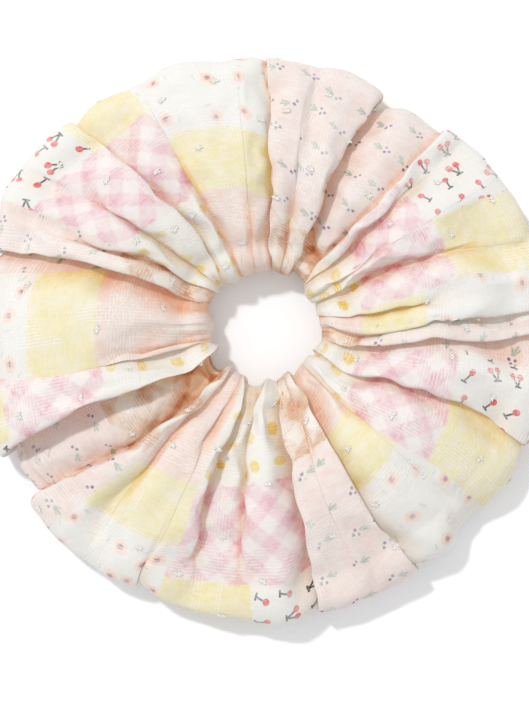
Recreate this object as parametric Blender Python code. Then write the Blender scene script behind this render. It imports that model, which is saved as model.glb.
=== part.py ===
"""Oversized scrunchie: a gathered ring of cloth sewn over a band of elastic.

The ring lies flat on the XY plane and its hole is centred on the Z axis. The cloth cover, the
elastic inside it and the lengthwise seam's thread each run all the way round. They stretch, so
each is divided into equal lengths, one for each sector of the ring, and the sectors slide apart
as the hole opens. Sector 1 starts at the closing seam, and the numbers run anticlockwise as seen
from above. Units are metres.
"""
import math

import bmesh
import bpy
from mathutils import Vector

MM = 0.001

# Driving dimensions
OUTER_DIAMETER = 170 * MM
HOLE_DIAMETER = 32 * MM
SECTORS = 12
CLOSING_SEAM_ANGLE = math.radians(63)

# Cover: the tube of cloth, as the closed line that its section follows
RIM_HALF_WIDTH = 11 * MM
RIM_HALF_HEIGHT = 9 * MM
INNER_HALF_WIDTH = 10 * MM
INNER_HALF_HEIGHT = 8.5 * MM
CROWN_RISE = 6 * MM
ARC_STEPS = 6
CROWN_STEPS = 6
CLOTH_THICKNESS = 0.8 * MM

# Gathers pressed into the top of the cover
STEPS_PER_SECTOR = 8
GATHER_DEPTH_PER_RADIUS = 0.038

# Elastic band, standing on edge inside the cover's inner side
ELASTIC_INNER_RADIUS = 23 * MM
ELASTIC_THICKNESS = 1.2 * MM
ELASTIC_WIDTH = 6 * MM
ELASTIC_LAP_LENGTH = 11 * MM

# Threads
SEAM_THREAD_DIAMETER = 0.8 * MM
SEAM_RADIUS = 34 * MM
STITCH_DIAMETER = 0.6 * MM
LAP_STITCH_TURNS = 7
CLOSING_SEAM_INSET = 2.4 * MM
CLOSING_SEAM_SETBACK = 1.2 * MM
CLOSING_SEAM_OPENING = 3 * MM

GAP = 0.3 * MM

OUTER_RADIUS = OUTER_DIAMETER / 2
HOLE_RADIUS = HOLE_DIAMETER / 2
SECTOR_ANGLE = 2 * math.pi / SECTORS


def clear_scene():
    for item in list(bpy.data.objects):
        bpy.data.objects.remove(item, do_unlink=True)


def make_material(name, colour, roughness):
    material = bpy.data.materials.new(name)
    material.use_nodes = True
    shader = material.node_tree.nodes["Principled BSDF"]
    shader.inputs["Base Color"].default_value = (*colour, 1)
    shader.inputs["Roughness"].default_value = roughness
    shader.inputs["Metallic"].default_value = 0
    material.diffuse_color = (*colour, 1)
    return material


def tube_section(inset=0.0):
    """Section of the cover as (radius, height) points, from the underside outwards and over."""
    rim_centre = OUTER_RADIUS - RIM_HALF_WIDTH
    inner_centre = HOLE_RADIUS + INNER_HALF_WIDTH
    points = []
    for step in range(ARC_STEPS + 1):
        angle = math.pi * (step / ARC_STEPS - 0.5)
        points.append((rim_centre + (RIM_HALF_WIDTH - inset) * math.cos(angle),
                       RIM_HALF_HEIGHT + (RIM_HALF_HEIGHT - inset) * math.sin(angle)))
    for step in range(1, CROWN_STEPS):
        along = step / CROWN_STEPS
        chord = 2 * (RIM_HALF_HEIGHT + (INNER_HALF_HEIGHT - RIM_HALF_HEIGHT) * along)
        points.append((rim_centre + (inner_centre - rim_centre) * along,
                       chord + CROWN_RISE * math.sin(math.pi * along) - inset))
    for step in range(ARC_STEPS + 1):
        angle = math.pi * (step / ARC_STEPS + 0.5)
        points.append((inner_centre + (INNER_HALF_WIDTH - inset) * math.cos(angle),
                       INNER_HALF_HEIGHT + (INNER_HALF_HEIGHT - inset) * math.sin(angle)))
    return points


def at_angle(radius, height, angle):
    return Vector((radius * math.cos(angle), radius * math.sin(angle), height))


def tangent_at(angle):
    return Vector((-math.sin(angle), math.cos(angle), 0))


def sector_start(index):
    return CLOSING_SEAM_ANGLE + index * SECTOR_ANGLE


def link(name, data, material, collection):
    item = bpy.data.objects.new(name, data)
    item.data.materials.append(material)
    collection.objects.link(item)
    return item


def ring_of(shape, section, start):
    return [shape.verts.new(at_angle(radius, height, start)) for radius, height in section]


def wall_faces(shape, outer, inner):
    """Faces between two nested rings of points: the section of a hollow tube's wall."""
    count = len(outer)
    return [shape.faces.new((outer[i], outer[(i + 1) % count], inner[(i + 1) % count], inner[i]))
            for i in range(count)]


def spin_faces(shape, faces, sweep, steps):
    geometry = set(faces)
    for face in faces:
        geometry.update(face.edges, face.verts)
    bmesh.ops.spin(shape, geom=list(geometry), cent=(0, 0, 0), axis=(0, 0, 1), angle=sweep,
                   steps=steps, use_duplicate=False)


def set_back_ends(shape, start, sweep):
    for end, inward in ((start, 1), (start + sweep, -1)):
        side = tangent_at(end)
        for vert in shape.verts:
            if abs(vert.co.dot(side)) < 1e-6 and vert.co.dot(at_angle(1, 0, end)) > 0:
                vert.co += side * inward * GAP / 2


def finish_mesh(name, shape):
    bmesh.ops.recalc_face_normals(shape, faces=shape.faces)
    mesh = bpy.data.meshes.new(name)
    shape.to_mesh(mesh)
    shape.free()
    mesh.shade_smooth()
    mesh.set_sharp_from_angle(angle=math.radians(50))
    return mesh


def press_gathers(shape, start):
    """Push every second row of points down into the tube, and leave the flat underside."""
    step_angle = SECTOR_ANGLE / STEPS_PER_SECTOR
    for vert in shape.verts:
        radius = math.hypot(vert.co.x, vert.co.y)
        turned = (math.atan2(vert.co.y, vert.co.x) - start) % (2 * math.pi)
        row = round(turned / step_angle)
        if row % 2 == 0 or vert.co.z < RIM_HALF_HEIGHT:
            continue
        vert.co.z -= GATHER_DEPTH_PER_RADIUS * radius


def make_cover(index, material, collection):
    """One length of the cloth tube, hollow and open at both ends."""
    name = f"cover_{index + 1:02d}"
    start = sector_start(index)
    shape = bmesh.new()
    outer = ring_of(shape, tube_section(), start)
    inner = ring_of(shape, tube_section(CLOTH_THICKNESS), start)
    spin_faces(shape, wall_faces(shape, outer, inner), SECTOR_ANGLE, STEPS_PER_SECTOR)
    press_gathers(shape, start)
    set_back_ends(shape, start, SECTOR_ANGLE)
    link(name, finish_mesh(name, shape), material, collection)


def band_section(inner_radius):
    low = INNER_HALF_HEIGHT - ELASTIC_WIDTH / 2
    outer_radius = inner_radius + ELASTIC_THICKNESS
    return [(inner_radius, low), (outer_radius, low),
            (outer_radius, low + ELASTIC_WIDTH), (inner_radius, low + ELASTIC_WIDTH)]


def make_band(name, inner_radius, start, sweep, material, collection):
    steps = max(4, round(sweep / math.radians(5)))
    shape = bmesh.new()
    section = shape.faces.new(ring_of(shape, band_section(inner_radius), start))
    spin_faces(shape, [section], sweep, steps)
    set_back_ends(shape, start, sweep)
    link(name, finish_mesh(name, shape), material, collection)


def make_thread(name, points, diameter, material, collection):
    curve = bpy.data.curves.new(name, "CURVE")
    curve.dimensions = "3D"
    curve.bevel_depth = diameter / 2
    curve.bevel_resolution = 1
    curve.use_fill_caps = True
    spline = curve.splines.new("POLY")
    spline.points.add(len(points) - 1)
    for spline_point, point in zip(spline.points, points):
        spline_point.co = (*point, 1)
    link(name, curve, material, collection)


def make_seam_thread(index, material, collection):
    height = CLOTH_THICKNESS + GAP + SEAM_THREAD_DIAMETER / 2
    margin = GAP / (2 * SEAM_RADIUS)
    start = sector_start(index) + margin
    sweep = SECTOR_ANGLE - 2 * margin
    steps = 6
    points = [at_angle(SEAM_RADIUS, height, start + sweep * step / steps)
              for step in range(steps + 1)]
    make_thread(f"seam_thread_{index + 1:02d}", points, SEAM_THREAD_DIAMETER, material, collection)


def make_lap_stitching(material, collection):
    """Zigzag that sews the elastic's ends together, lying on the lap's outer face."""
    radius = (ELASTIC_INNER_RADIUS + 2 * (ELASTIC_THICKNESS + GAP) + STITCH_DIAMETER / 2)
    sweep = ELASTIC_LAP_LENGTH / radius
    reach = ELASTIC_WIDTH / 2 - STITCH_DIAMETER
    points = []
    for turn in range(LAP_STITCH_TURNS + 1):
        along = 0.2 + 0.6 * turn / LAP_STITCH_TURNS
        height = INNER_HALF_HEIGHT + (reach if turn % 2 else -reach)
        points.append(at_angle(radius, height, CLOSING_SEAM_ANGLE + sweep * along))
    make_thread("elastic_lap_stitching", points, STITCH_DIAMETER, material, collection)


def make_closing_seam(material, collection):
    """Thread that joins the cover's two ends, following the inside of the tube's section."""
    outline = tube_section(CLOSING_SEAM_INSET)
    underside = CLOSING_SEAM_INSET
    outline.insert(0, (SEAM_RADIUS + CLOSING_SEAM_OPENING, underside))
    outline.append((SEAM_RADIUS - CLOSING_SEAM_OPENING, underside))
    setback = tangent_at(CLOSING_SEAM_ANGLE) * CLOSING_SEAM_SETBACK
    points = [at_angle(radius, height, CLOSING_SEAM_ANGLE) + setback for radius, height in outline]
    make_thread("closing_seam_thread", points, STITCH_DIAMETER, material, collection)


def build():
    clear_scene()
    collection = bpy.data.collections.new("scrunchie")
    bpy.context.scene.collection.children.link(collection)

    for index in range(SECTORS):
        number = index + 1
        cloth = make_material(f"printed cotton {number}", (0.93, 0.86, 0.8), 0.9)
        make_cover(index, cloth, collection)
        rubber = make_material(f"white elastic {number}", (0.9, 0.89, 0.86), 0.7)
        make_band(f"elastic_{number:02d}", ELASTIC_INNER_RADIUS, sector_start(index),
                  SECTOR_ANGLE, rubber, collection)
        cotton = make_material(f"seam thread {number}", (0.95, 0.93, 0.9), 0.8)
        make_seam_thread(index, cotton, collection)

    lap_radius = ELASTIC_INNER_RADIUS + ELASTIC_THICKNESS + GAP
    make_band("elastic_lap_end", lap_radius, CLOSING_SEAM_ANGLE, ELASTIC_LAP_LENGTH / lap_radius,
              make_material("white elastic end", (0.9, 0.89, 0.86), 0.7), collection)
    make_lap_stitching(make_material("lap stitching", (0.97, 0.96, 0.94), 0.8), collection)
    make_closing_seam(make_material("closing seam thread", (0.95, 0.93, 0.9), 0.8), collection)


build()
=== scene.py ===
"""Oversized scrunchie in pastel patchwork-print cotton, lying flat.

The cloth is laid out on the ring as a person would gather it: broad panels of cloth that show,
and folds between them that swallow the rest. Every point of the cloth keeps its place on the
flat strip, in millimetres along it (U) and across it (V), and the print is drawn on the strip.
"""
import math

import bpy
import numpy as np
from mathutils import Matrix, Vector


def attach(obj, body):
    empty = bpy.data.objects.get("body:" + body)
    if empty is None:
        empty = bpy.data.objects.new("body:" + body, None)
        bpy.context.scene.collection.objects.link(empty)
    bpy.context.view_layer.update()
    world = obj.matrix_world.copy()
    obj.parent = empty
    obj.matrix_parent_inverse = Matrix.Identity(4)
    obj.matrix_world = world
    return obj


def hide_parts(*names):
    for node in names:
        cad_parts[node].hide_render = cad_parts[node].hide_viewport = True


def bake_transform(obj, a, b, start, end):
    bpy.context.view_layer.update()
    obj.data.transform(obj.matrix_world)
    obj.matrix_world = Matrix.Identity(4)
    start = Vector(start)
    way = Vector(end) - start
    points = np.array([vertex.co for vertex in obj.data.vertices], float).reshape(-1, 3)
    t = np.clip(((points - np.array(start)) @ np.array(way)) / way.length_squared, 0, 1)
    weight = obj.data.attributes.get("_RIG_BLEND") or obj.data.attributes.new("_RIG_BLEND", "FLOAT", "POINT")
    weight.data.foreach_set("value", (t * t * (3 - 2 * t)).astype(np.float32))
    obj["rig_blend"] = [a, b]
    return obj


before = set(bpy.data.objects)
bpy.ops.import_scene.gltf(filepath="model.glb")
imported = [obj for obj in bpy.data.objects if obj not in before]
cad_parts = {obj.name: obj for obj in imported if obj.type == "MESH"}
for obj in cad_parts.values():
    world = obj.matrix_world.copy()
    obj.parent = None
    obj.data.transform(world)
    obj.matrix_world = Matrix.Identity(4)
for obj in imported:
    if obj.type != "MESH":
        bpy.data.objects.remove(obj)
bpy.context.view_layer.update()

MM = 0.001
SECTORS = 12
SEAM_ANGLE = 63.0
SECTOR_ANGLE = 360.0 / SECTORS

# The ring, in millimetres
HOLE_RADIUS = 16.8
RIM_RADIUS = 84.5
RIM_HALF_HEIGHT = 7.0
RIM_HALF_WIDTH = 9.0
INNER_HALF_HEIGHT = 8.5
RIM_LIFT = 2.5
INNER_HALF_WIDTH = 8.5
CROWN_RISE = 6.5
ROW_SPACING = 1.1
UNDERSIDE = 0.55
SEAM_RADIUS = 34.0
TUFTS = 90
PLEATS = 48
CLOTH_SHADE = 0.85
FIBRES = 10
CLOTH_THICKNESS = 0.35
THINNEST = 0.04
TUCK = 13.0
PANEL_STEP = 0.95
TUFT_SPACING = 15
TUFT_TRIES = 5000
FIBRE_WIDTH = 0.27

# The cloth simulation runs on every third row and every second column, enlarged. The cloth
# grows round the ring and a little all over, most near the hole, and so it buckles.
SIM_ROWS = 3
SIM_COLUMNS = 2
SIM_SCALE = 20.0
SIM_FRAMES = 9
GROW_ROUND = 1.22
GROW_RIM = 0.065
GROW_HOLE = 0.15

# Elastic and lengthwise seam, inside the cloth
ELASTIC_RADIUS = 23.6
ELASTIC_THICKNESS = 1.2
ELASTIC_WIDTH = 6.0
ELASTIC_HEIGHT = 8.5
ELASTIC_REACH = 2.2
ELASTIC_GAP = 0.8
HOLE_EDGE = 9.0
THREAD_HEIGHT = 1.5
THREAD_TWIST = 2.2
STITCH = 2.2 * MM
STITCH_RADIUS = 0.22
STITCH_SIDES = 6
ELASTIC_RIBS = 8
ELASTIC_BULGE = 0.13
CLOSING_COLUMN = 2

# Printed cloth: three columns of patches, repeated along the strip
COLUMN_A = 44.0
COLUMN_B = 52.0
COLUMN_C = 40.0
REPEAT = COLUMN_A + COLUMN_B + COLUMN_C
WHITE_THREAD_PITCH = 0.95
WEAVE_PITCH = 0.62

# Places along a fibre or a stitch, from 0 to 1, and how wide it is there
FIBRE_PROFILE = ((0.0, 0.35), (0.35, 1.0), (0.75, 0.85), (1.0, 0.2))
STITCH_PROFILE = ((0.0, 0.3), (0.12, 0.9), (0.5, 1.0), (0.88, 0.9), (1.0, 0.3))


def smoothstep(t):
    t = np.clip(t, 0, 1)
    return t * t * (3 - 2 * t)


# --- folds -----------------------------------------------------------------------------------

class Fold:
    """A fold that runs from the hole to the rim.

    at: its angle in degrees, and depth: how far its bottom lies under the cloth's surface in
    millimetres, each at five places from the hole (first) to the rim (last). side +1 means that
    the cloth on the anticlockwise side lies on top, -1 the other side and 0 neither.
    hidden: length of the strip that it takes up at the rim.
    """

    def __init__(self, at, depth, side=0, half_width=0.9, lean=2.5, lip=0.8, drop=1.2, hidden=0.0,
                 sink=0.0):
        self.at = at
        self.depth = depth
        self.side = side
        self.half_width = half_width
        self.lean = lean
        self.lip = lip
        self.drop = drop
        self.hidden = hidden
        self.sink = sink


FOLDS = [
    # closing seam: the strip's end dips under its start
    Fold((58, 62.3, 64.3, 63, 61.6), (6, 8, 8, 7, 5), +1, 1.0, 2.5, 0.9, 2.2),
    Fold((76, 78, 79, 80, 80), (5, 2, 0, 0, 0), -1, 0.7, 1.0, 0.3, 0.4),
    Fold((87.3, 88.6, 89.6, 90.2, 90.8), (6, 7, 4, 2.2, 1.2), -1, 0.6, 2.2, 1.0, 1.0, 1.0),
    Fold((101, 98, 97, 97, 97), (5, 1.5, 0, 0, 0), -1, 0.6, 1.0, 0.3, 0.4),
    Fold((114.5, 116, 117, 118, 118), (4.5, 3.5, 1.8, 0, 0), 0, 1.8, 0.0, 0.2, 0.8),
    Fold((130, 124.6, 127.5, 130, 133), (6, 7, 5, 3, 1.2), +1, 0.7, 2.2, 0.9, 1.0),
    Fold((142, 143, 143.6, 145, 146), (6, 6.5, 3.5, 0, 0), -1, 0.6, 1.2, 0.5, 0.6),
    Fold((149.5, 152.4, 156.5, 158, 159), (6, 6.5, 3, 0, 0), -1, 0.9, 1.8, 0.7, 1.0),
    Fold((167, 164.6, 166, 166.6, 167), (6, 9, 9, 7.5, 6), -1, 2.6, 3.6, 1.0, 1.6, 16.0),
    Fold((192.5, 191.5, 194, 197, 198), (6, 2.5, 0, 0, 0), +1, 0.8, 1.2, 0.5, 0.6),
    Fold((200.3, 198, 191.6, 188.4, 186), (6, 8, 8, 7.5, 6), -1, 1.0, 3.0, 1.0, 1.4, 21.0),
    # the broad sunk fold at the lower left, as its two edges
    Fold((214, 209.5, 208, 206.6, 208), (6, 8, 7, 6, 4), -1, 0.7, 2.6, 1.4, -0.4, 35.0, sink=6.3),
    Fold((223.6, 223.4, 221, 217.6, 215.6), (6, 8, 7, 5.5, 3.5), +1, 0.7, 1.6, 1.2, -0.4, 0.0),
    Fold((235.8, 231.8, 231, 232, 233), (5.5, 4.5, 2.2, 0.6, 0), -1, 1.3, 1.2, 0.5, 0.9),
    Fold((247, 246, 245, 245, 246), (5, 1.5, 0, 0.5, 1.2), -1, 1.5, 1.0, 0.4, 0.5, 9.0),
    Fold((256, 254.2, 252.4, 254, 255), (6, 7, 6, 1.5, 0), -1, 0.7, 2.2, 0.9, -0.3, 0.0, sink=3.6),
    Fold((264.5, 260.4, 262, 263.5, 264), (6, 7, 6, 1.5, 0), +1, 0.7, 1.8, 1.0, -0.3),
    Fold((280.8, 277.4, 279.4, 280, 279.8), (6, 8, 8, 6.5, 4.5), +1, 1.0, 2.6, 1.1, 2.0, 7.0),
    Fold((291, 290, 290, 291, 292), (5, 1.5, 0, 0, 0), +1, 0.7, 1.0, 0.3, 0.4),
    Fold((303, 302, 301, 302, 303.5), (6, 7, 6, 4, 2), -1, 0.8, 2.4, 1.0, 1.4, 25.0),
    Fold((315, 316, 316, 316, 316), (5, 2, 0, 0, 0), -1, 0.7, 1.0, 0.3, 0.4),
    Fold((327.5, 331, 334.6, 336, 334), (6, 6.5, 5, 2.2, 1.0), +1, 1.6, 1.8, 0.6, 1.4, 6.0),
    Fold((341, 344.6, 350.6, 354.4, 357), (6, 9, 9, 8, 6), +1, 1.7, 3.6, 1.1, 1.4, 24.0),
    Fold((352, 353, 357, 360, 362), (6, 7, 7, 6, 5), +1, 1.0, 2.0, 0.6, 0.8, 29.0),
    Fold((366, 365, 366, 368, 368), (6, 5, 1.0, 0, 0), +1, 0.7, 1.5, 0.5, 0.6),
    Fold((380, 382.5, 382, 379.5, 378), (6, 8, 6.5, 1.0, 0), +1, 1.7, 2.0, 0.7, 1.4),
    Fold((390, 391, 392, 392, 392), (5, 2, 0, 0, 0), +1, 0.7, 1.0, 0.3, 0.4),
    Fold((399.5, 399.8, 401, 402, 402), (6, 8, 5.5, 0.8, 0), +1, 1.7, 2.0, 0.7, 1.4),
    Fold((411, 409.5, 409, 408.5, 408), (6, 5, 2.2, 1.6, 1.3), -1, 0.8, 1.6, 0.6, 0.8, sink=2.8),
]
STRIP_START = -42.0
WALL_STEPS = 9

# Where the border between the inner patches and the next row lies: place along the strip and
# distance from the ring's centre
BORDER_AT = (-42, -20, 20, 60, 110, 150, 195, 250, 285, 340, 385, 420, 475, 540, 600, 645, 660)
BORDER_RADIUS = (33, 33, 45, 45, 48, 50, 49, 55, 53, 48, 40, 39, 30, 30, 31, 33, 33)

# The rim's outline: angle in degrees and radius
RIM_AT = (0, 20, 45, 60, 75, 90, 110, 130, 150, 180, 205, 215, 240, 265, 280, 300, 315, 330, 345,
          360)
RIM_IS = (86, 86, 81.6, 79.6, 81.2, 81.6, 83.4, 85.4, 87.5, 88.5, 90, 90, 88.6, 89.4, 90, 88.4,
          87.2, 88.6, 87.5, 86)


def smooth_kernel(sigma):
    reach = math.ceil(3 * sigma)
    kernel = np.exp(-0.5 * (np.arange(-reach, reach + 1) / sigma) ** 2)
    return reach, kernel / kernel.sum()


def blur_columns(values, sigma):
    reach, kernel = smooth_kernel(sigma)
    padded = np.pad(values, ((0, 0), (reach, reach)), "reflect", reflect_type="odd")
    width = values.shape[1]
    return sum(weight * padded[:, i:i + width] for i, weight in enumerate(kernel))


def blur_rows(values, sigma):
    """The rows close on themselves at the lengthwise seam."""
    reach, kernel = smooth_kernel(sigma)
    padded = np.concatenate([values[-reach - 1:-1], values, values[1:reach + 1]])
    height = len(values)
    return sum(weight * padded[i:i + height] for i, weight in enumerate(kernel))


def blur_points(points, sigma):
    return np.stack([blur_columns(points[..., i], sigma) for i in range(3)], axis=-1)


def from_polar(radius, angle, height):
    return np.stack([radius * np.cos(angle), radius * np.sin(angle), height], axis=-1)


def off_floor(height):
    """Heights in millimetres, with what would lie under the floor pressed flat just above it."""
    return np.where(height > UNDERSIDE, height, UNDERSIDE + 0.15 * (height - UNDERSIDE))


def point_grid(rows, columns):
    return np.arange(rows * columns).reshape(rows, columns)


def quads(grid):
    """Faces between the neighbours in a grid of point numbers."""
    corners = grid[:-1, :-1], grid[1:, :-1], grid[1:, 1:], grid[:-1, 1:]
    return np.stack(corners, axis=-1).reshape(-1, 4)


def lattice_noise(x, y, seed):
    """Smooth value noise, about -1 to 1, one wave per unit."""
    def corner(i, j):
        h = (i.astype(np.int64) * 374761393 + j.astype(np.int64) * 668265263 + seed * 974634777)
        h = (h ^ (h >> 13)) * 1274126177
        return ((h ^ (h >> 16)) & 0xffff) / 32767.5 - 1
    x, y = np.broadcast_arrays(np.asarray(x, float), np.asarray(y, float))
    i = np.floor(x)
    j = np.floor(y)
    fx = smoothstep(x - i)
    fy = smoothstep(y - j)
    low = corner(i, j) * (1 - fx) + corner(i + 1, j) * fx
    high = corner(i, j + 1) * (1 - fx) + corner(i + 1, j + 1) * fx
    return low * (1 - fy) + high * fy


class Section:
    """The tube's section, from the lengthwise seam under the ring, in to the hole's edge, over
    the top to the rim and back along the underside to the seam."""

    def __init__(self):
        inner = HOLE_RADIUS + INNER_HALF_WIDTH
        rim = RIM_RADIUS - RIM_HALF_WIDTH
        line = [(SEAM_RADIUS + (inner - SEAM_RADIUS) * t, UNDERSIDE)
                for t in np.linspace(0, 1, 20, endpoint=False)]
        for t in np.linspace(1.5 * math.pi, math.pi / 2, 80, endpoint=False):
            line.append((inner + INNER_HALF_WIDTH * math.cos(t),
                         UNDERSIDE + INNER_HALF_HEIGHT * (1 + math.sin(t))))
        for t in np.linspace(0, 1, 80, endpoint=False):
            top = 2 * (INNER_HALF_HEIGHT + (RIM_HALF_HEIGHT - INNER_HALF_HEIGHT) * t)
            line.append((inner + (rim - inner) * t,
                         UNDERSIDE + RIM_LIFT * t + top + CROWN_RISE * math.sin(math.pi * t)))
        for t in np.linspace(math.pi / 2, -math.pi / 2, 60, endpoint=False):
            line.append((rim + RIM_HALF_WIDTH * math.cos(t),
                         UNDERSIDE + RIM_LIFT + RIM_HALF_HEIGHT * (1 + math.sin(t))))
        line += [(rim + (SEAM_RADIUS - rim) * t, UNDERSIDE + RIM_LIFT * max(0, 1 - 2.2 * t) ** 2)
                 for t in np.linspace(0, 1, 60)]
        line = np.array(line)
        length = np.concatenate([[0], np.cumsum(np.hypot(*np.diff(line, axis=0).T))])
        self.rows = SIM_ROWS * round(length[-1] / ROW_SPACING / SIM_ROWS) + 1
        self.along = np.linspace(0, length[-1], self.rows)
        self.radius = np.interp(self.along, length, line[:, 0])
        self.height = np.interp(self.along, length, line[:, 1])
        self.hole_row = int(np.argmin(self.radius))
        self.rim_row = int(np.argmax(self.radius))
        self.reach = (self.radius - HOLE_RADIUS) / (RIM_RADIUS - HOLE_RADIUS)
        slope_r, slope_z = np.gradient(self.radius), np.gradient(self.height)
        size = np.hypot(slope_r, slope_z)
        self.normal_r = -slope_z / size
        self.normal_z = slope_r / size
        self.under = smoothstep((0.35 - self.normal_z) / 0.9)
        self.from_hole = np.abs(self.along - self.along[self.hole_row])


class FoldRows:
    """Each fold's measures on every row: arrays of rows by folds."""

    def __init__(self, section):
        knots = np.linspace(0, 1, 5)
        row = section.along[:, None]
        number = np.arange(len(FOLDS))[None]
        under = section.under[:, None]

        def spread(values):
            return np.array([np.interp(section.reach, knots, value) for value in values]).T

        def constant(name):
            return np.array([getattr(f, name) for f in FOLDS])[None]

        self.side = constant("side")
        open_fold = (constant("hidden") < 6).astype(float)
        self.at = blur_rows(spread([f.at for f in FOLDS]), 5)
        self.at = self.at + 0.5 * lattice_noise(row / 13, number * 1.7, 21)
        limit = 3.3 + 5.6 * smoothstep((section.from_hole[:, None] - 2) / 26)
        limit = limit * (1 - under) + np.minimum(limit, 4.2) * under
        depth = [(min(f.depth[0], 0.45 * f.depth[1]), *f.depth[1:]) for f in FOLDS]
        self.depth = np.minimum(blur_rows(spread(depth), 4), limit) * (1 - 0.15 * open_fold)
        real = smoothstep(self.depth / 2.0)
        slack = 0.5 + 0.5 * section.reach[:, None]
        width = constant("half_width") * (1 + 0.5 * open_fold)
        self.half_width = np.maximum(width * slack, 0.6) * real + 3.5 * (1 - real)
        tucked = 0.38 * constant("hidden") * smoothstep(section.reach[:, None] / 0.4)
        self.lean = (constant("lean") + tucked) * self.side * real * (1 - 0.4 * under)
        self.lip = constant("lip") * real * (1 - 0.4 * open_fold)
        self.drop = constant("drop") * real
        self.sink = constant("sink") * real * (1 - 0.6 * under)

    def rise(self, fold, after):
        """How far below the surface the cloth lies beside a fold, before or after it."""
        side = self.side[0, fold]
        on_top = side > 0 if after else side < 0
        height = -self.lip[:, fold] if on_top else self.drop[:, fold]
        return height * (1 if side else 0.4)


def strip_at_panels(rim_angles):
    """Where the middle of each panel is on the strip, counted along the rim."""
    rim_mm = RIM_RADIUS * math.pi / 180
    middles = []
    place = STRIP_START
    for i, fold in enumerate(FOLDS):
        following = rim_angles[i + 1] if i + 1 < len(FOLDS) else rim_angles[0] + 360
        span = (following - rim_angles[i]) * rim_mm
        middles.append(place + span / 2)
        place += span + (FOLDS[i + 1].hidden if i + 1 < len(FOLDS) else 0)
    return middles


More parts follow.
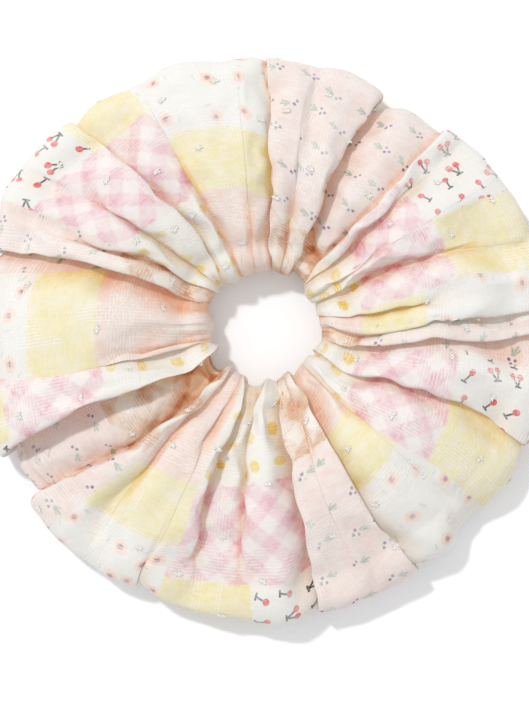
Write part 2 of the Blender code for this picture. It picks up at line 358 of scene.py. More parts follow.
class Cloth:
    """The cloth as rows across the strip and columns along it.

    x is the distance along the ring's row and y the depth under the plain tube's surface, both in
    millimetres; u and v are the place on the flat strip.
    """

    def __init__(self, section):
        self.section = section
        self.folds = FoldRows(section)
        self.blocks = []
        self.scale = section.radius * math.pi / 180
        self.centre = self.folds.at * self.scale[:, None]
        middles = strip_at_panels(self.folds.at[section.rim_row])
        count = len(FOLDS)
        panels = [self.panel(i, middles[i]) for i in range(count)]
        first = panels[0]
        self.wall(self.bottom(0, 0), self.edge(first, 0), first[2][:, 0] - 5, first[2][:, 0],
                  first[3][:, 0], first[3][:, 0], 0.5, 0)
        for i, panel in enumerate(panels):
            self.blocks.append((*panel, 0 * panel[0]))
            following = (i + 1) % count
            turn = 360 if following == 0 else 0
            bottom = self.bottom(following, turn)
            end_u, end_v = panel[2][:, -1], panel[3][:, -1]
            if following == 0:
                self.wall(self.edge(panel, -1), bottom, end_u, end_u + 5, end_v, end_v, 0, 0)
                self.tuck(bottom, end_u + 5, end_v)
                break
            after = panels[following]
            start_u, start_v = after[2][:, 0], after[3][:, 0]
            half_u, half_v = (end_u + start_u) / 2, (end_v + start_v) / 2
            self.wall(self.edge(panel, -1), bottom, end_u, half_u, end_v, half_v, 0, following)
            self.wall(bottom, self.edge(after, 0), half_u, start_u, half_v, start_v, 0.5, following)
        joined = [np.concatenate([block[i] for block in self.blocks], axis=1) for i in range(5)]
        self.x, self.y, self.u, self.v, self.fold = joined

    def panel(self, i, middle_u):
        folds, section = self.folds, self.section
        following = (i + 1) % len(FOLDS)
        turn = 360 * self.scale if following == 0 else 0
        start_x = self.centre[:, i] + folds.half_width[:, i]
        end_x = self.centre[:, following] + turn - folds.half_width[:, following]
        middle = (start_x + end_x) / 2
        width = np.maximum(end_x - start_x, 0.8)
        start_x = middle - width / 2
        steps = max(8, round(float(width.max()) / PANEL_STEP))
        tau = np.linspace(0, 1, steps)[None]
        room = np.clip(width / 10, 0.12, 1)
        start_y = folds.rise(i, after=True) * room
        end_y = folds.rise(following, after=False) * room
        puff = np.random.RandomState(40 + i).uniform(0.6, 1.3)
        stand = np.random.RandomState(80 + i).uniform(-0.9, 0.9)
        stand = stand * (1 - smoothstep(section.reach / 0.5))
        rounding = 0.07 + 0.12 * (1 - smoothstep(section.reach / 0.25))
        bulge = np.minimum(rounding * width, 2.0) * puff
        x = start_x[:, None] + width[:, None] * tau
        y = (start_y[:, None] * (1 - smoothstep(tau / 0.45))
             + end_y[:, None] * smoothstep((tau - 0.55) / 0.45)
             - bulge[:, None] * np.sin(math.pi * tau) ** 0.8 + (folds.sink[:, i] + stand)[:, None])
        turned = (x - middle[:, None]) / section.radius[:, None]
        u = middle_u + section.radius[:, None] * np.sin(turned)
        v = (section.along[:, None]
             - (section.normal_z * section.radius)[:, None] * (1 - np.cos(turned)))
        return x, y, u, v

    def bottom(self, i, turn):
        x = self.centre[:, i] + turn * self.scale + self.folds.lean[:, i]
        before = self.folds.sink[:, i - 1]
        return x, self.folds.depth[:, i] + 0.5 * np.maximum(self.folds.sink[:, i], before)

    def edge(self, panel, column):
        return panel[0][:, column], panel[1][:, column]

    def wall(self, start, end, start_u, end_u, start_v, end_v, share, fold):
        tau = np.linspace(0, 1, WALL_STEPS + 2)[None, 1:-1]
        if share:
            tau = np.linspace(0, 1, WALL_STEPS + 1)[None, :-1]
        x, y, v = [a[:, None] + (b - a)[:, None] * tau
                   for a, b in (*zip(start, end), (start_v, end_v))]
        # the print keeps its size down the wall, and what is left over lies in the fold's bottom
        length = np.minimum(np.hypot(end[0] - start[0], end[1] - start[1]), end_u - start_u)
        if share:
            u = end_u[:, None] - length[:, None] * (1 - tau)
        else:
            u = start_u[:, None] + length[:, None] * tau
        real = smoothstep(self.folds.depth[:, fold] / 2)[:, None]
        self.blocks.append((x, y, u, v, np.sin(math.pi * (share + 0.5 * tau)) * real))

    def tuck(self, start, start_u, start_v):
        """The strip's end goes on, flat, inside the start of the tube."""
        tau = np.linspace(0, 1, round(TUCK))[None]
        rows = np.ones((self.section.rows, 1))
        self.blocks.append((start[0][:, None] + TUCK * tau, start[1][:, None] + 1.2 * tau,
                            start_u[:, None] + TUCK * tau, start_v[:, None] * rows + 0 * tau,
                            rows * (1 + 0 * tau)))

    def shape(self):
        """Points in metres on the ring, once the folds are rounded and the cloth has wrinkled."""
        section = self.section
        reach = section.reach[:, None]
        x = blur_columns(self.x, 1.4)
        y = blur_rows(blur_columns(self.y, 1.5), 1.0)
        rounded = 1 - smoothstep(reach / 0.2)
        y = y + (blur_columns(y, 7.0) - y) * rounded
        near_hole = 1 - smoothstep(reach / 0.4)
        calm = (1 - 0.6 * self.fold) * (1 - 0.6 * section.under[:, None])
        ends = np.minimum(section.along, section.along[-1] - section.along)
        calm = calm * smoothstep(ends / 5)[:, None]
        degrees = np.degrees(x / section.radius[:, None])
        u, v = self.u, self.v
        wrinkles = (lattice_noise(u / 24, v / 27, 3) * 1.0 + lattice_noise(u / 10, v / 30, 5) * 0.6
                    + lattice_noise((u + v) / 13, (u - v) / 34, 9) * 0.5
                    + lattice_noise(degrees / 4.0, v / 20, 7) * 0.7 * near_hole
                    + lattice_noise(u / 3.6, v / 24, 13) * (0.12 + 0.25 * near_hole))
        y = y + wrinkles * calm
        return self.place(x, y + self.pleats(degrees, near_hole) * smoothstep(ends / 5)[:, None])

    def pleats(self, degrees, near_hole):
        """Small close pleats at the hole and on the underside, where most cloth is gathered."""
        section = self.section
        height = 2.75 + 0.035 * section.radius[:, None]
        hidden = smoothstep((-0.1 - section.normal_z) / 0.6)
        hidden = (hidden * (1 - 0.85 * smoothstep((section.radius - 52) / 22)))[:, None]
        uneven = 1 + 0.35 * lattice_noise(degrees / 9, 2.5, 17)
        phase = 2.2 * lattice_noise(degrees / 17, section.along[:, None] / 45, 19)
        wave = 0.5 + 0.5 * np.sin(np.radians(degrees) * PLEATS + phase)
        return height * wave * uneven * (0.1 * near_hole + (1 - 0.1 * near_hole) * hidden)

    def place(self, x, y):
        section = self.section
        theta = x / section.radius[:, None]
        degrees = np.degrees(theta) % 360
        rim = np.interp(degrees, RIM_AT, RIM_IS)
        stretch = (rim - HOLE_RADIUS) / (RIM_RADIUS - HOLE_RADIUS)
        radius = HOLE_RADIUS + (section.radius[:, None] - HOLE_RADIUS) * stretch
        tall = 1 + 0.10 * lattice_noise(degrees / 24, 0.0, 11)
        radius = radius - section.normal_r[:, None] * y
        height = section.height[:, None] * tall - section.normal_z[:, None] * y
        height = np.maximum(off_floor(height), CLOTH_THICKNESS * 0.3)
        self.depth = y
        self.turned = np.degrees(theta)
        return from_polar(radius, theta, height) * MM

    def crinkles(self):
        """Small creases that washed cotton keeps, too fine for the simulation."""
        u, v = self.u, self.v
        height = (0.24 * lattice_noise(u / 6, v / 8.5, 31) + 0.16 * lattice_noise(u / 3.1, v / 4.2, 33)
                  + 0.10 * lattice_noise((u + v) / 2.2, (u - v) / 5, 35)) * (1 - 0.7 * self.fold)
        ends = np.minimum(self.section.along, self.section.along[-1] - self.section.along)
        height = height * smoothstep(ends / 5)[:, None] * MM
        return from_polar(self.section.normal_r[:, None] * height, np.radians(self.turned),
                          self.section.normal_z[:, None] * height)

    def clear_elastic(self, points):
        """Lay the cloth over the elastic on top, and under it on the underside."""
        radius = np.hypot(points[..., 0], points[..., 1]) / MM
        height = points[..., 2] / MM
        near = 1 - smoothstep((np.abs(radius - ELASTIC_RADIUS) - ELASTIC_REACH) / 2)
        over = np.maximum(height, ELASTIC_HEIGHT + ELASTIC_WIDTH / 2 + ELASTIC_GAP)
        under = np.minimum(height, ELASTIC_HEIGHT - ELASTIC_WIDTH / 2 - ELASTIC_GAP)
        wanted = np.where(self.section.normal_z[:, None] > 0, over, under)
        points[..., 2] += near * (wanted - height) * MM

    def settle(self, points):
        """After the simulation: keep the cloth above the floor, and note how deep it now lies."""
        start = self.place(blur_columns(self.x, 1.4), self.depth)
        points = points.copy()
        lifted = off_floor(points[..., 2] / MM)
        points[..., 2] = np.maximum(lifted, CLOTH_THICKNESS * 1.1) * MM
        edge = (1 - smoothstep(self.section.from_hole / HOLE_EDGE))[:, None, None]
        points += (blur_points(points, 7.0) - points) * edge + self.crinkles()
        self.clear_elastic(points)
        moved = (points - start) / MM
        around = np.radians(self.turned)
        outward = moved[..., 0] * np.cos(around) + moved[..., 1] * np.sin(around)
        section = self.section
        self.depth = self.depth - (outward * section.normal_r[:, None]
                                   + moved[..., 2] * section.normal_z[:, None])
        return points


class Simulation:
    """Lets the cloth grow on the ring, with the bottoms of its folds held, so that it wrinkles."""

    def __init__(self, cloth, points):
        self.cloth = cloth
        self.points = points
        self.rows = np.arange(0, points.shape[0] - 1, SIM_ROWS)
        self.columns = np.append(np.arange(0, points.shape[1] - 1, SIM_COLUMNS), points.shape[1] - 1)
        self.start = self.coarse(points) * SIM_SCALE
        self.item = self.make_object()
        self.hold_and_grow()

    def coarse(self, values):
        return values[self.rows][:, self.columns]

    def make_object(self):
        grid = point_grid(*self.start.shape[:2])
        mesh = bpy.data.meshes.new("simulated_cloth")
        mesh.from_pydata(self.start.reshape(-1, 3), [], quads(np.concatenate([grid, grid[:1]])))
        item = bpy.data.objects.new("simulated_cloth", mesh)
        bpy.context.scene.collection.objects.link(item)
        item.shape_key_add(name="start")
        rest = item.shape_key_add(name="rest")
        angle = np.radians(self.coarse(self.cloth.turned)) * GROW_ROUND
        radius = np.hypot(self.start[..., 0], self.start[..., 1])
        grown = from_polar(radius, angle, self.start[..., 2])
        rest.data.foreach_set("co", grown.ravel().astype(np.float32))
        return item

    def add_group(self, name, weights):
        group = self.item.vertex_groups.new(name=name)
        weights = np.round(weights.ravel(), 1)
        for weight in np.unique(weights):
            chosen = np.nonzero(weights == weight)[0].tolist()
            group.add(chosen, float(weight), "REPLACE")
        return group.name

    def hold_and_grow(self):
        reach = self.cloth.section.reach[self.rows][:, None]
        held = np.clip((self.coarse(self.cloth.fold) - 0.5) / 0.4, 0, 1)
        held = np.maximum(held, 0.5 * (self.start[..., 2] < 1.2 * MM * SIM_SCALE))
        held[:, [0, -1]] = 1.0
        near_hole = np.broadcast_to(1 - smoothstep(reach / 0.55), held.shape)
        modifier = self.item.modifiers.new("cloth", "CLOTH")
        settings = modifier.settings
        settings.quality = 5
        settings.mass = 0.3
        settings.tension_stiffness = settings.compression_stiffness = 15
        settings.shear_stiffness = 5
        settings.bending_stiffness = 0.5
        settings.air_damping = 2
        settings.shrink_min = -GROW_RIM
        settings.shrink_max = -GROW_HOLE
        settings.vertex_group_shrink = self.add_group("grow", near_hole)
        settings.vertex_group_mass = self.add_group("hold", held)
        settings.rest_shape_key = self.item.data.shape_keys.key_blocks["rest"]
        settings.effector_weights.gravity = 0
        modifier.collision_settings.use_collision = False
        modifier.point_cache.frame_end = SIM_FRAMES

    def run(self):
        """The finer cloth's points, moved as the simulated cloth moved."""
        scene = bpy.context.scene
        for number in range(1, SIM_FRAMES + 1):
            scene.frame_set(number)
        result = self.item.evaluated_get(bpy.context.evaluated_depsgraph_get()).data
        ended = np.empty(self.start.size)
        result.vertices.foreach_get("co", ended)
        moved = (ended.reshape(self.start.shape) - self.start) / SIM_SCALE
        bpy.data.objects.remove(self.item)
        scene.frame_set(1)
        moved = np.concatenate([moved, moved[:1]])
        height, width = self.points.shape[:2]
        moved = between(moved, np.append(self.rows, height - 1), height)
        moved = between(moved.swapaxes(0, 1), self.columns, width).swapaxes(0, 1)
        moved = blur_points(moved, 1.0)
        return self.points + np.stack([blur_rows(moved[..., i], 1.4) for i in range(3)], axis=-1)


def between(values, places, count):
    """Values known at some places along the first axis, filled in at every whole number."""
    wanted = np.arange(count)
    before = np.clip(np.searchsorted(places, wanted, side="right") - 1, 0, len(places) - 2)
    share = (wanted - places[before]) / (places[before + 1] - places[before])
    share = share.reshape(-1, *([1] * (values.ndim - 1)))
    return values[before] * (1 - share) + values[before + 1] * share


def normals_of(points, faces):
    a, b, c, d = (points[faces[:, i]] for i in range(4))
    face_normals = np.cross(c - a, d - b)
    normals = np.zeros_like(points)
    for i in range(4):
        np.add.at(normals, faces[:, i], face_normals)
    size = np.linalg.norm(normals, axis=1, keepdims=True)
    return normals / np.maximum(size, 1e-12)


def angle_of(points):
    """Degrees anticlockwise from the closing seam."""
    return (np.degrees(np.arctan2(points[:, 1], points[:, 0])) - SEAM_ANGLE) % 360


def new_mesh_object(name, points, faces, material, normals=None, strip=None):
    """strip: each point's place on the flat strip, and how much painted fold shade it gets (-1 on tufts)."""
    mesh = bpy.data.meshes.new(name)
    mesh.from_pydata(points, [], faces)
    mesh.shade_smooth()
    if normals is not None:
        mesh.normals_split_custom_set_from_vertices(normals)
    if strip is not None:
        attribute = mesh.attributes.new("strip", "FLOAT_VECTOR", "POINT")
        attribute.data.foreach_set("vector", strip.astype(np.float32).ravel())
    mesh.materials.append(material)
    item = bpy.data.objects.new(name, mesh)
    bpy.context.scene.collection.objects.link(item)
    return item


def join_ring(item, start_angle):
    """Let a piece that reaches from one sector's middle to the next one's bend between them.

    The weights run with the angle round the ring, so that neighbouring pieces meet.
    """
    number = int(start_angle // SECTOR_ANGLE) + 1
    middle = math.radians(SEAM_ANGLE + start_angle + SECTOR_ANGLE / 2)
    half = math.radians(SECTOR_ANGLE / 2)
    radius = HOLE_RADIUS * MM
    ends = [(radius * math.cos(a), radius * math.sin(a), 0) for a in (middle - half, middle + half)]
    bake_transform(item, f"sector_{number:02d}", f"sector_{number + 1:02d}", *ends)
    points = np.array([vertex.co for vertex in item.data.vertices])
    weights = smoothstep((angle_of(points) - start_angle) / SECTOR_ANGLE)
    attribute = item.data.attributes["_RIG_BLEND"]
    attribute.data.foreach_set("value", weights.astype(np.float32))


def ring_ranges():
    """Name suffix, start angle, end angle and the body of each piece round the ring; body None
    for a piece that bends between two."""
    half = SECTOR_ANGLE / 2
    ranges = [("00", -180, half, "sector_01")]
    ranges += [(f"{k:02d}", k * SECTOR_ANGLE - half, k * SECTOR_ANGLE + half, None)
               for k in range(1, SECTORS)]
    return ranges + [(f"{SECTORS:02d}", 360 - half, 540, f"sector_{SECTORS:02d}")]


def used_points(faces):
    """The numbers of the points that some faces use, and the faces counted in those."""
    used, local = np.unique(faces, return_inverse=True)
    return used, local.reshape(-1, 4)


def settle_in_frame(item, low, body, replaced):
    """Let a length of the ring follow the sectors it lies on, in place of the CAD's length."""
    if body:
        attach(item, body)
    else:
        join_ring(item, low)
    number = max(1, int(item.name[-2:]))
    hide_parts(f"{replaced}_{number:02d}")


# --- materials -------------------------------------------------------------------------------

def linear(*colour):
    """Linear colour from 0-255 screen values."""
    out = []
    for value in colour:
        value /= 255
        out.append(value / 12.92 if value <= 0.04045 else ((value + 0.055) / 1.055) ** 2.4)
    return (*out, 1.0)


class Term:
    """A number inside a node tree, so that a pattern can be written as plain arithmetic."""

    def __init__(self, tree, socket):
        self.tree = tree
        self.socket = socket

    def op(self, operation, *others, clamp=False):
        node = self.tree.nodes.new("ShaderNodeMath")
        node.operation = operation
        node.use_clamp = clamp
        self.tree.links.new(self.socket, node.inputs[0])
        for socket, other in zip(node.inputs[1:], others):
            if isinstance(other, Term):
                self.tree.links.new(other.socket, socket)
            else:
                socket.default_value = other
        return Term(self.tree, node.outputs[0])

    def __add__(self, other):
        return self.op("ADD", other)

    def __sub__(self, other):
        return self.op("SUBTRACT", other)

    def __mul__(self, other):
        return self.op("MULTIPLY", other)

    def __truediv__(self, other):
        return self.op("DIVIDE", other)

    def __neg__(self):
        return self.op("MULTIPLY", -1.0)

    def above(self, limit, soft=0.2):
        """1 above the limit and 0 below it, over a soft edge."""
        return ((self - limit) * (1 / soft)).op("ADD", 0.5, clamp=True)


def hypot(x, y):
    return (x * x + y * y).op("SQRT")


def wave(place, pitch):
    """A sine wave over a place in millimetres, from -1 to 1."""
    return (place * (2 * math.pi / pitch)).op("SINE")


def inside(distance, size, soft=0.25):
    return ((-distance) + size).op("MULTIPLY_ADD", 1 / soft, 0.5, clamp=True)


def stroke(x, y, start, end, half_width, soft=0.2):
    """Mask of a straight stroke between two points."""
    dx, dy = end[0] - start[0], end[1] - start[1]
    px, py = x - start[0], y - start[1]
    along = ((px * dx + py * dy) / (dx * dx + dy * dy)).op("MAXIMUM", 0.0).op("MINIMUM", 1.0)
    return inside(hypot(px - along * dx, py - along * dy), half_width, soft)


def disc(x, y, centre, radius, soft=0.25):
    return inside(hypot(x - centre[0], y - centre[1]), radius, soft)


def either(first, *others):
    """The union of masks."""
    for other in others:
        first = first.op("MAXIMUM", other)
    return first


def blend_colour(tree, under, over, factor, blend_type="MIX"):
    node = tree.nodes.new("ShaderNodeMix")
    node.data_type = "RGBA"
    node.blend_type = blend_type
    if isinstance(factor, Term):
        tree.links.new(factor.socket, node.inputs[0])
    else:
        node.inputs[0].default_value = factor
    for socket, value in ((node.inputs[6], under), (node.inputs[7], over)):
        if isinstance(value, tuple):
            socket.default_value = value
        else:
            tree.links.new(value, socket)
    return node.outputs[2]


def new_material(name):
    """A material, its node tree and its shader."""
    material = bpy.data.materials.new(name)
    material.use_nodes = True
    return material, material.node_tree, material.node_tree.nodes["Principled BSDF"]


def add_bump(tree, shader, height, strength, distance):
    """Relief from a height pattern; distance is the height of its full range in millimetres."""
    bump = tree.nodes.new("ShaderNodeBump")
    bump.inputs["Strength"].default_value = strength
    bump.inputs["Distance"].default_value = distance * MM
    tree.links.new(height.socket, bump.inputs["Height"])
    tree.links.new(bump.outputs["Normal"], shader.inputs["Normal"])


class Cells:
    """A grid of cells on the strip, each with random numbers and its own turned axes."""

    def __init__(self, tree, u, v, size, seed, wander=0.5, turn=2 * math.pi, facing=0.0):
        across = u / size
        up = v / size
        cell_x, cell_y = across.op("FLOOR"), up.op("FLOOR")
        vector = tree.nodes.new("ShaderNodeCombineXYZ")
        tree.links.new(cell_x.socket, vector.inputs[0])
        tree.links.new(cell_y.socket, vector.inputs[1])
        vector.inputs[2].default_value = seed
        noise = tree.nodes.new("ShaderNodeTexWhiteNoise")
        noise.noise_dimensions = "3D"
        tree.links.new(vector.outputs[0], noise.inputs["Vector"])
        split = tree.nodes.new("ShaderNodeSeparateColor")
        tree.links.new(noise.outputs["Color"], split.inputs[0])
        self.random = [Term(tree, split.outputs[i]) for i in range(3)]
        x = (across - cell_x - 0.5 - (self.random[0] - 0.5) * wander) * size
        y = (up - cell_y - 0.5 - (self.random[1] - 0.5) * wander) * size
        angle = (self.random[2] - 0.5) * turn + facing
        cosine, sine = angle.op("COSINE"), angle.op("SINE")
        self.x = x * cosine + y * sine
        self.y = y * cosine - x * sine


class Print:
    """The patches' prints, as colours on the strip."""

    def __init__(self, tree, u, v):
        self.tree = tree
        self.u = u
        self.v = v
        self.edge = v + (strip_noise(tree, u, v, 1.6, 0.5) - 0.5) * 2.4

    def gingham(self, side, tint, seed, paper):
        """Squares painted in watercolour: they wander, and their colour pools unevenly."""
        tree, u, v = self.tree, self.u, self.v
        wander = strip_noise(tree, u, v, 6.0, 6.0) * 0.8
        pooled = strip_noise(tree, v, u, 4.5, 4.5)
        diagonal = 0.7071 / (2 * side)
        first = ((u + v + wander) * diagonal + seed).op("FRACT")
        second = ((u - v + wander) * diagonal + seed).op("FRACT")
        stripes = [((t - 0.5).op("ABSOLUTE") * 2).above(0.5, 0.2) for t in (first, second)]
        amount = (stripes[0] + stripes[1]) * 0.5 * (pooled.above(0.48, 0.7) * 0.5 + 0.65)
        return blend_colour(tree, paper, tint, amount.op("MINIMUM", 1.0))

    def cherries(self):
        cells = Cells(self.tree, self.u, self.v + 2.0, 7.6, 1.0, 0.35, 1.1, -math.pi / 2)
        x, y = cells.x, cells.y
        pair = cells.random[0].above(0.45, 0.01)
        foot = (0.1, -1.6)
        stems = either(stroke(x, y, (-1.1, 1.2), foot, 0.3, 0.14),
                       stroke(x, y, (1.2, 1.5), foot, 0.3, 0.14) * pair,
                       stroke(x, y, (-0.7, -1.75), (0.9, -1.5), 0.3, 0.14))
        fruit = either(disc(x, y, (-1.1, 1.4), 0.98, 0.14),
                       disc(x, y, (1.2, 1.8), 0.95, 0.14) * pair)
        colour = blend_colour(self.tree, linear(238, 236, 230), linear(40, 42, 40), stems)
        return blend_colour(self.tree, colour, linear(226, 56, 58), fruit)

    def sprigs(self):
        shifted = self.u + 3.0 + (self.v / 10.2).op("FLOOR") * 4.3
        cells = Cells(self.tree, shifted, self.v, 10.2, 2.0, 0.35, 0.9, math.pi)
        x, y = cells.x, cells.y
        leaf = either(stroke(x, y, (-3.2, -0.2), (-0.7, 0.3), 0.34, 0.4),
                      stroke(x, y, (-2.6, -1.0), (-0.7, 0.1), 0.26, 0.4),
                      stroke(x, y, (-2.3, 0.9), (-0.7, 0.3), 0.22, 0.4))
        third = cells.random[1].above(0.5, 0.01)
        berries = either(disc(x, y, (0.8, 0.8), 0.5), disc(x, y, (1.9, -0.1), 0.5),
                         disc(x, y, (0.4, -0.9), 0.42) * third)
        colour = blend_colour(self.tree, linear(240, 219, 211), linear(152, 176, 156), leaf * 0.9)
        halo = disc(x, y, (0.9, 0.2), 1.3, 1.2) * 0.4
        colour = blend_colour(self.tree, colour, linear(240, 226, 232), halo)
        return blend_colour(self.tree, colour, linear(122, 108, 132), berries)

    def flowers(self):
        cells = Cells(self.tree, self.u + 5.0, self.v + 4.0, 11.5, 3.0, 0.6)
        x, y = cells.x, cells.y
        angle = y.op("ARCTAN2", x)
        petals = (angle * 5.0).op("COSINE") * 0.16 + (angle * 2.0).op("COSINE") * 0.28
        distance = hypot(x, y)
        bloom = inside(distance - petals, 2.1, 0.5)
        leaves = either(stroke(x, y, (2.6, -2.9), (4.0, -2.0), 0.35, 0.5),
                        stroke(x, y, (-3.6, 1.9), (-2.9, 3.0), 0.3, 0.5))
        colour = blend_colour(self.tree, linear(239, 237, 231), linear(190, 198, 188), leaves * 0.5)
        colour = blend_colour(self.tree, colour, linear(248, 216, 196), bloom)
        colour = blend_colour(self.tree, colour, linear(240, 190, 166), inside(distance, 1.15, 0.6))
        return blend_colour(self.tree, colour, linear(158, 128, 160), inside(distance, 0.7, 0.3))

    def dots(self):
        cells = Cells(self.tree, self.u, self.v, 9.0, 4.0, 0.5)
        wide = hypot(cells.x * 0.8, cells.y * 1.15)
        return blend_colour(self.tree, linear(239, 236, 226), linear(236, 208, 98),
                            inside(wide, 1.6, 0.5))

    def stack(self, rows):
        """Patches above one another: a print, then the height where the next starts."""
        colour = rows[0]
        for limit, following in zip(rows[1::2], rows[2::2]):
            colour = blend_colour(self.tree, colour, following, self.edge.above(limit, 0.9))
        return colour


def strip_terms(tree):
    """Place on the flat strip in millimetres, and how much painted fold shade the cloth gets."""
    attribute = tree.nodes.new("ShaderNodeAttribute")
    attribute.attribute_name = "strip"
    split = tree.nodes.new("ShaderNodeSeparateXYZ")
    tree.links.new(attribute.outputs["Vector"], split.inputs[0])
    return [Term(tree, split.outputs[i]) for i in range(3)]


def strip_noise(tree, u, v, length, width, detail=2.0):
    vector = tree.nodes.new("ShaderNodeCombineXYZ")
    tree.links.new((u / length).socket, vector.inputs[0])
    tree.links.new((v / width).socket, vector.inputs[1])
    noise = tree.nodes.new("ShaderNodeTexNoise")
    noise.noise_dimensions = "2D"
    noise.inputs["Scale"].default_value = 1.0
    noise.inputs["Detail"].default_value = detail
    tree.links.new(vector.outputs[0], noise.inputs["Vector"])
    return Term(tree, noise.outputs["Fac"])


def cloth_material():
    material, tree, shader = new_material("printed_cotton")
    u, v, deep = strip_terms(tree)
    prints = Print(tree, u, v)
    peach = linear(243, 215, 201)
    yellow = linear(241, 228, 172)
    pink = prints.gingham(4.1, linear(232, 174, 186), 0.3, linear(243, 233, 229))
    orange = prints.gingham(5.2, linear(213, 153, 99), 0.1, linear(244, 232, 217))
    cherries, sprigs = prints.cherries(), prints.sprigs()
    flowers, dots = prints.flowers(), prints.dots()

    along = (u / REPEAT).op("FRACT") * REPEAT + (strip_noise(tree, v, u, 1.6, 0.5) - 0.5) * 2.0
    second_half = along.above(COLUMN_A + COLUMN_B / 2, 0.25)
    outer_b = blend_colour(tree, yellow, cherries, second_half)
    column_a = prints.stack([orange, -48.0, peach, 0.0, yellow, 19.0, flowers, 62.0, pink, 92.0,
                             cherries])
    column_b = prints.stack([sprigs, -46.0, dots, 0.0, pink, 29.0, outer_b, 62.0, peach, 88.0,
                             sprigs])
    column_c = prints.stack([cherries, -50.0, orange, 0.0, sprigs, 60.0, yellow, 85.0, flowers])
    colour = blend_colour(tree, column_a, column_b, along.above(COLUMN_A, 0.7))
    colour = blend_colour(tree, colour, column_c, along.above(COLUMN_A + COLUMN_B, 0.7))

    # dobby lines: groups of raised white threads, along the strip near the borders and across it
    band = (v / 31.0 + 0.1).op("FRACT").above(0.68, 0.03)
    band = either(band, (-v).above(2.0, 3.0) * 0.4)
    band = band * strip_noise(tree, u, v, 14, 9).above(0.42, 0.1)
    across = (u / 44.0 + 0.4).op("FRACT").above(0.72, 0.03)
    across = across * strip_noise(tree, v, u, 16, 9).above(0.45, 0.1)
    threads = either((wave(v, WHITE_THREAD_PITCH) * 0.5 + 0.5) * band,
                     (wave(u, WHITE_THREAD_PITCH) * 0.5 + 0.5) * across)
    threads = threads * strip_noise(tree, u, v, 1.6, 0.8).above(0.42, 0.2)
    colour = blend_colour(tree, colour, linear(252, 249, 245), threads * 0.6)
    cloudy = strip_noise(tree, u, v, 12, 12)
    colour = blend_colour(tree, colour, linear(244, 241, 236), cloudy.above(0.52, 0.4) * 0.3)
    washed = strip_noise(tree, u, v, 5.5, 3.2, 3.0)
    colour = blend_colour(tree, colour, linear(246, 243, 239), washed.above(0.55, 0.3) * 0.3)
    yarn = strip_noise(tree, u, v, 3.4, 0.42) * 0.6 + strip_noise(tree, u, v, 0.42, 2.6) * 0.4
    colour = blend_colour(tree, colour, linear(252, 249, 245), yarn.above(0.52, 0.3) * 0.36)

    # tufts of the same white yarn carry no print
    tuft = (-deep).above(0.5, 0.1)
    colour = blend_colour(tree, colour, linear(242, 240, 234), tuft)

    # painted shade: folds are painted darker, more saturated and warmer, for light gone from cloth to cloth
    painted_shade = either(deep, 0.0)
    shade = (CLOTH_SHADE, CLOTH_SHADE, CLOTH_SHADE, 1.0)
    painted_shade_gamma = tree.nodes.new("ShaderNodeGamma")
    shaded = blend_colour(tree, colour, shade, 1.0, "MULTIPLY")
    tree.links.new(shaded, painted_shade_gamma.inputs["Color"])
    tree.links.new((painted_shade * 1.7 + 1.0).socket, painted_shade_gamma.inputs["Gamma"])
    painted_shade_colour = blend_colour(tree, painted_shade_gamma.outputs[0], linear(255, 230, 208), painted_shade, "MULTIPLY")
    tree.links.new(painted_shade_colour, shader.inputs["Base Color"])

    # painted glow: emission deep in folds, for light through thin cotton, and a faint one on the tufts
    tree.links.new(painted_shade_colour, shader.inputs["Emission Color"])
    painted_glow = either(painted_shade * 0.45, tuft * 0.12)
    tree.links.new(painted_glow.socket, shader.inputs["Emission Strength"])

    weave = (wave(u, WEAVE_PITCH) * wave(v, WEAVE_PITCH)) * 0.5
    slubs = strip_noise(tree, u, v, 5.0, 0.5)
    crinkle = strip_noise(tree, u, v, 2.6, 3.4, 3.0)
    relief = weave * 0.08 + slubs * 0.2 + crinkle * 0.5 + threads * 0.16
    add_bump(tree, shader, relief, 0.7, 0.5)
    roughness = slubs * 0.2 + 0.76
    tree.links.new(roughness.socket, shader.inputs["Roughness"])
    shader.inputs["Specular IOR Level"].default_value = 0.25
    shader.inputs["Sheen Weight"].default_value = 0.12
    shader.inputs["Sheen Roughness"].default_value = 0.5
    return material


def thicken(points, faces, normals, thickness):
    """A second skin under the first, joined to it round every open edge."""
    count = len(points)
    edges = np.concatenate([faces[:, [i, (i + 1) % 4]] for i in range(4)])
    key = np.sort(edges, axis=1)
    _, inverse, times = np.unique(key, axis=0, return_inverse=True, return_counts=True)
    rim = edges[times[inverse.ravel()] == 1]
    sides = np.stack([rim[:, 1], rim[:, 0], rim[:, 0] + count, rim[:, 1] + count], axis=1)
    all_points = np.concatenate([points, points - normals * thickness[:, None]])
    all_faces = np.concatenate([faces, faces[:, ::-1] + count, sides])
    return all_points, all_faces, np.concatenate([normals, -normals])


def pressed_thickness(points):
    """The cloth's thickness at each point: pressed thin where a fold is sharper than the cloth."""
    before, after = np.roll(points, 2, axis=1), np.roll(points, -2, axis=1)
    sides = points - before, after - points, after - before
    twice_area = np.linalg.norm(np.cross(sides[0], sides[1]), axis=2)
    lengths = [np.linalg.norm(side, axis=2) for side in sides]
    fold_radius = lengths[0] * lengths[1] * lengths[2] / np.maximum(2 * twice_area, 1e-15)
    limit = lowest(np.minimum(0.4 * fold_radius, CLOTH_THICKNESS * MM), 3, 1)
    return np.maximum(blur_columns(limit, 1.5), THINNEST * MM)


def from_border(cloth):
    """Distance across the strip from the wandering border between the first rows of patches."""
    section = cloth.section
    radius = np.interp(cloth.u[section.rim_row], BORDER_AT, BORDER_RADIUS)
    top = slice(section.hole_row, section.rim_row)
    border = np.interp(radius, section.radius[top], section.along[top])
    return cloth.v - blur_columns(border[None], 14)


